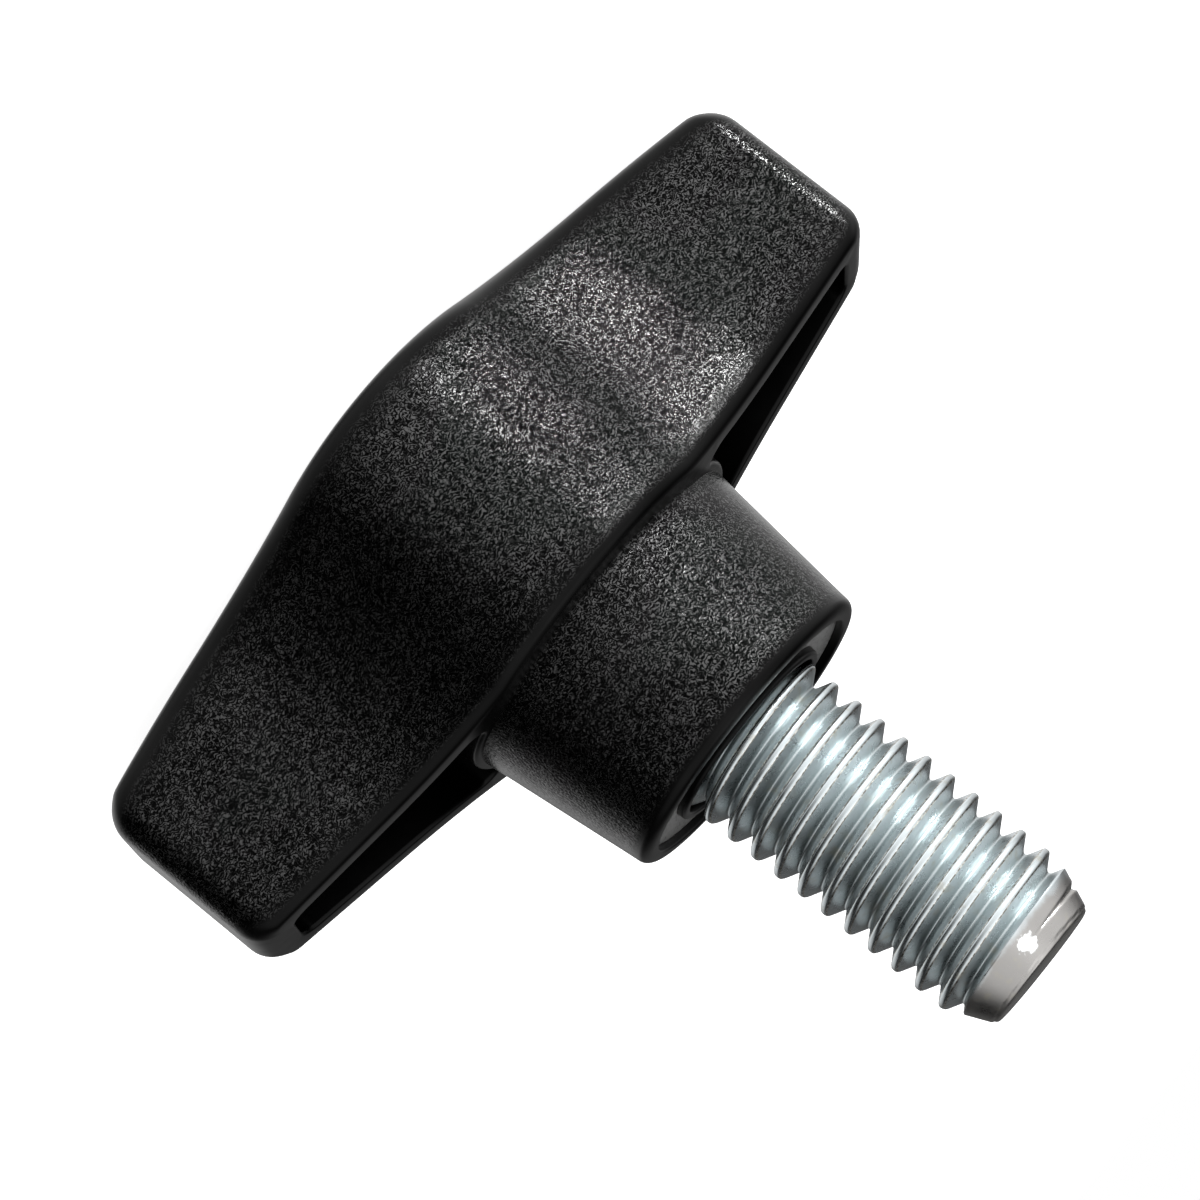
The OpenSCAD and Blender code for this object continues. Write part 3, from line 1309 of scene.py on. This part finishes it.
        smooth = graph.node("GeometryNodeSetShadeSmooth", {}, {"Geometry": merged})
        real = graph.node("GeometryNodeRealizeInstances", {}, {"Geometry": smooth})
        dressed = graph.node(
            "GeometryNodeSetMaterial",
            {},
            {"Geometry": real, "Material": Signal(graph, group.outputs["Material"])},
        )
        graph.add("NodeGroupOutput", {}, {0: dressed})
        return tree

    def _radius(self, size: dict[str, Signal], across: Signal, z: Signal) -> Signal:
        """Write the thread's profile and the chamfer that it runs out in.

        Args:
            size: The tree's inputs by name.
            across: Share of the pitch, with the crest at a half.
            z: Height.

        Returns:
            The radius.
        """
        slant = (across * 2.0 - 1.0).math("ABSOLUTE")
        sharp = size["Pitch"] * (math.sqrt(3.0) / 2.0)
        radius = size["Major Radius"] + sharp * (self.crest_share - slant)
        radius = radius.math("SMOOTH_MIN", size["Major Radius"], self.thread_blend * MM)
        radius = radius.math("SMOOTH_MAX", size["Root Radius"], self.thread_blend * MM)
        cone = (size["Major Radius"] - size["Tip Radius"]) / size["Tip Length"]
        cone = size["Tip Radius"] + (size["End"] - z) * cone
        radius = radius.math("SMOOTH_MIN", cone, self.tip_blend * MM)
        short = (size["End"] - size["Run-out"] - z).math("MAXIMUM", 0.0)
        filled = cone - short * self.runout_slope
        filled = filled.math("MINIMUM", size["Major Radius"] - self.runout_depth * MM)
        radius = radius.math("MAXIMUM", filled)
        past = (z - size["End"] + size["Tip Edge"]).math("MAXIMUM", 0.0)
        rounded = (size["Tip Edge"] * size["Tip Edge"] - past * past).math("MAXIMUM", 0.0)
        rounded = size["Tip Radius"] - size["Tip Edge"] + rounded.math("SQRT")
        near_end = past.math("GREATER_THAN", 0.0)
        return radius + (radius.math("MINIMUM", rounded) - radius) * near_end


@dataclass(frozen=True)
class SoftBox:
    """A rectangular studio light that points at the knob."""

    name: str
    place: Place
    size: Plan
    power: float
    target: Place = (0.0, 0.0, -8.0)
    spread: float = math.pi

    def build(self) -> None:
        """Place the light."""
        data = bpy.data.lights.new(self.name, "AREA")
        data.shape = "RECTANGLE"
        data.size, data.size_y = metres(self.size)
        data.energy = self.power
        data.spread = self.spread
        lamp = bpy.data.objects.new(self.name, data)
        lamp.visible_camera = False
        away = Vector(self.place) - Vector(self.target)
        turn = away.to_track_quat("Z", "Y").to_matrix().to_4x4()
        lamp.matrix_world = Matrix.Translation(Vector(self.place) * MM) @ turn
        bpy.context.scene.collection.objects.link(lamp)


@dataclass(frozen=True)
class Beam:
    """A gridded box whose beam rises slightly and passes beside the axis.

    It stands at a number of degrees from -Y towards -X. The middle of the beam passes the axis at
    the distance across and the height level.
    """

    name: str
    azimuth: float
    across: float
    level: float
    size: Plan
    power: float
    rise: float = math.radians(9.5)
    spread: float = math.radians(8.0)
    length: float = 62.0

    def box(self) -> SoftBox:
        """Give the light that makes the beam.

        Returns:
            The light.
        """
        turn = math.radians(self.azimuth)
        aim = Vector((math.cos(turn) * self.across, -math.sin(turn) * self.across, self.level))
        back = facing(-turn, -self.rise)
        place = aim + back * self.length
        return SoftBox(self.name, place, self.size, self.power, aim, self.spread)


@dataclass(frozen=True)
class Panel:
    """A soft panel far off in the studio, which glows towards the knob."""

    toward: Place
    inner: float
    outer: float
    strength: float


TOP_BOX = SoftBox("top", (-60.0, -60.0, 420.0), (300.0, 300.0), 0.25)
BEAMS = (
    Beam("wings side", 65.0, 3.2, -16.3, (6.0, 10.0), 0.000026),
    Beam("wings key", 50.0, 1.1, -16.0, (6.0, 10.0), 0.00011),
    Beam("wings fill", 35.0, 4.2, -16.3, (6.0, 10.0), 0.000032),
    Beam("stud side", 68.0, 0.0, 5.0, (8.0, 28.0), 0.00022),
    Beam("stud key", 50.0, 0.0, 5.0, (8.0, 28.0), 0.00024),
    Beam("stud fill", 34.0, 0.0, 5.0, (8.0, 28.0), 0.00016),
    Beam("tip", 62.0, -5.0, -13.5, (5.0, 8.0), 0.000045),
)
PANELS = (
    Panel((-0.754, -0.633, -0.174), math.radians(10), math.radians(95), 1.7),
    Panel((0.45, -0.45, 0.77), math.radians(10), math.radians(60), 1.2),
    Panel((0.25, -0.30, -0.92), math.radians(10), math.radians(48), 0.9),
    Panel((-0.1, 0.97, 0.18), math.radians(8), math.radians(45), 0.1),
    Panel((0.5, 0.72, -0.48), math.radians(10), math.radians(40), 0.9),
    Panel((-0.5, 0.72, -0.48), math.radians(10), math.radians(40), 0.9),
)


@dataclass(frozen=True)
class Studio:
    """The floor, the lights and the camera."""

    ambient: float = 0.03
    floor_side: float = 12000.0
    floor_shade: float = 0.92
    floor_glow: float = 0.93
    floor_roughness: float = 0.9
    camera_azimuth: float = math.radians(8.565)
    camera_elevation: float = math.radians(10.46)
    camera_roll: float = math.radians(128.37)
    camera_distance: float = 178.0
    camera_aim: Place = (-0.39, -1.04, -8.58)
    focal_px: float = 4207.0
    sensor: float = 36.0

    def build(self) -> None:
        """Make everything that isn't part of the object."""
        self._floor()
        self._sky()
        for light in (TOP_BOX, *(beam.box() for beam in BEAMS)):
            light.build()
        self._camera()
        bpy.context.scene.view_settings.view_transform = "Standard"

    def _floor(self) -> None:
        """Lay a plain pale floor under the crown."""
        level = box_mm(KNOB_NODE)[0].z
        half = self.floor_side / 2
        corners = [(-half, -half), (half, -half), (half, half), (-half, half)]
        mesh = bpy.data.meshes.new("studio_floor")
        mesh.from_pydata([Vector((x, y, level)) * MM for x, y in corners], [], [(0, 1, 2, 3)])
        material = bpy.data.materials.new("studio_floor")
        material.use_nodes = True
        shader = material.node_tree.nodes["Principled BSDF"]
        settings = {
            "Base Color": (*[self.floor_shade] * 3, 1.0),
            "Roughness": self.floor_roughness,
            "Specular IOR Level": 0.0,
            "Emission Color": (1.0, 1.0, 1.0, 1.0),
            "Emission Strength": self.floor_glow,
        }
        for name, value in settings.items():
            shader.inputs[name].default_value = value
        mesh.materials.append(material)
        floor = bpy.data.objects.new("studio_floor", mesh)
        floor.visible_glossy = False
        floor.visible_diffuse = False
        bpy.context.scene.collection.objects.link(floor)

    def _sky(self) -> None:
        """Surround the knob with soft panels, and with white where the camera looks past it."""
        world = bpy.data.worlds.new("studio")
        world.use_nodes = True
        graph = Graph(world.node_tree)
        way = graph.node("ShaderNodeTexCoord", output="Generated")
        light = None
        for panel in PANELS:
            toward = Vector(panel.toward).normalized()
            near = graph.node(
                "ShaderNodeVectorMath", {"operation": "DOT_PRODUCT"}, {0: way, 1: toward}, "Value"
            )
            glow = near.ramp(math.cos(panel.outer), math.cos(panel.inner)) * panel.strength
            light = glow if light is None else light + glow
        seen = graph.node("ShaderNodeLightPath", output="Is Camera Ray")
        light = light + self.ambient
        strength = light + (1.0 - light) * seen
        back = world.node_tree.nodes["Background"]
        back.inputs["Color"].default_value = (1.0, 1.0, 1.0, 1.0)
        world.node_tree.links.new(strength.socket, back.inputs["Strength"])
        world.cycles.sampling_method = "NONE"
        bpy.context.scene.world = world

    def _camera(self) -> None:
        """Stand the camera where the photo was taken from."""
        azimuth = self.camera_azimuth
        back = facing(azimuth, self.camera_elevation)
        level = Vector((math.cos(azimuth), math.sin(azimuth), 0.0))
        upright = back.cross(level)
        right = level * math.cos(self.camera_roll) + upright * math.sin(self.camera_roll)
        up = back.cross(right)
        place = (Vector(self.camera_aim) + back * self.camera_distance) * MM
        axes = Matrix((right, up, back)).transposed().to_4x4()
        data = bpy.data.cameras.new("camera")
        data.sensor_fit = "HORIZONTAL"
        data.sensor_width = self.sensor
        data.lens = self.focal_px * self.sensor / PHOTO_SIDE
        data.clip_start = 0.005
        data.clip_end = 50.0
        camera = bpy.data.objects.new("camera", data)
        camera.matrix_world = Matrix.Translation(place) @ axes
        bpy.context.scene.collection.objects.link(camera)
        bpy.context.scene.camera = camera


def seat(piece: bpy.types.Object, node: str) -> None:
    """Let a finished piece stand for its node on the only body.

    Args:
        piece: The finished object.
        node: Node that it replaces.
    """
    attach(piece, "root")
    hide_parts(node)
    log.info("%s: %d faces", piece.name, len(piece.data.polygons))


def main() -> None:
    """Build the studio and the two pieces."""
    logging.basicConfig(level=logging.INFO)
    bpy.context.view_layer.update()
    Studio().build()
    seat(WingKnob(KnobPlastic().build()).build(), KNOB_NODE)
    seat(ThreadedStud(ZincPlate().build()).build(), STUD_NODE)


if __name__ == "__main__":
    main()
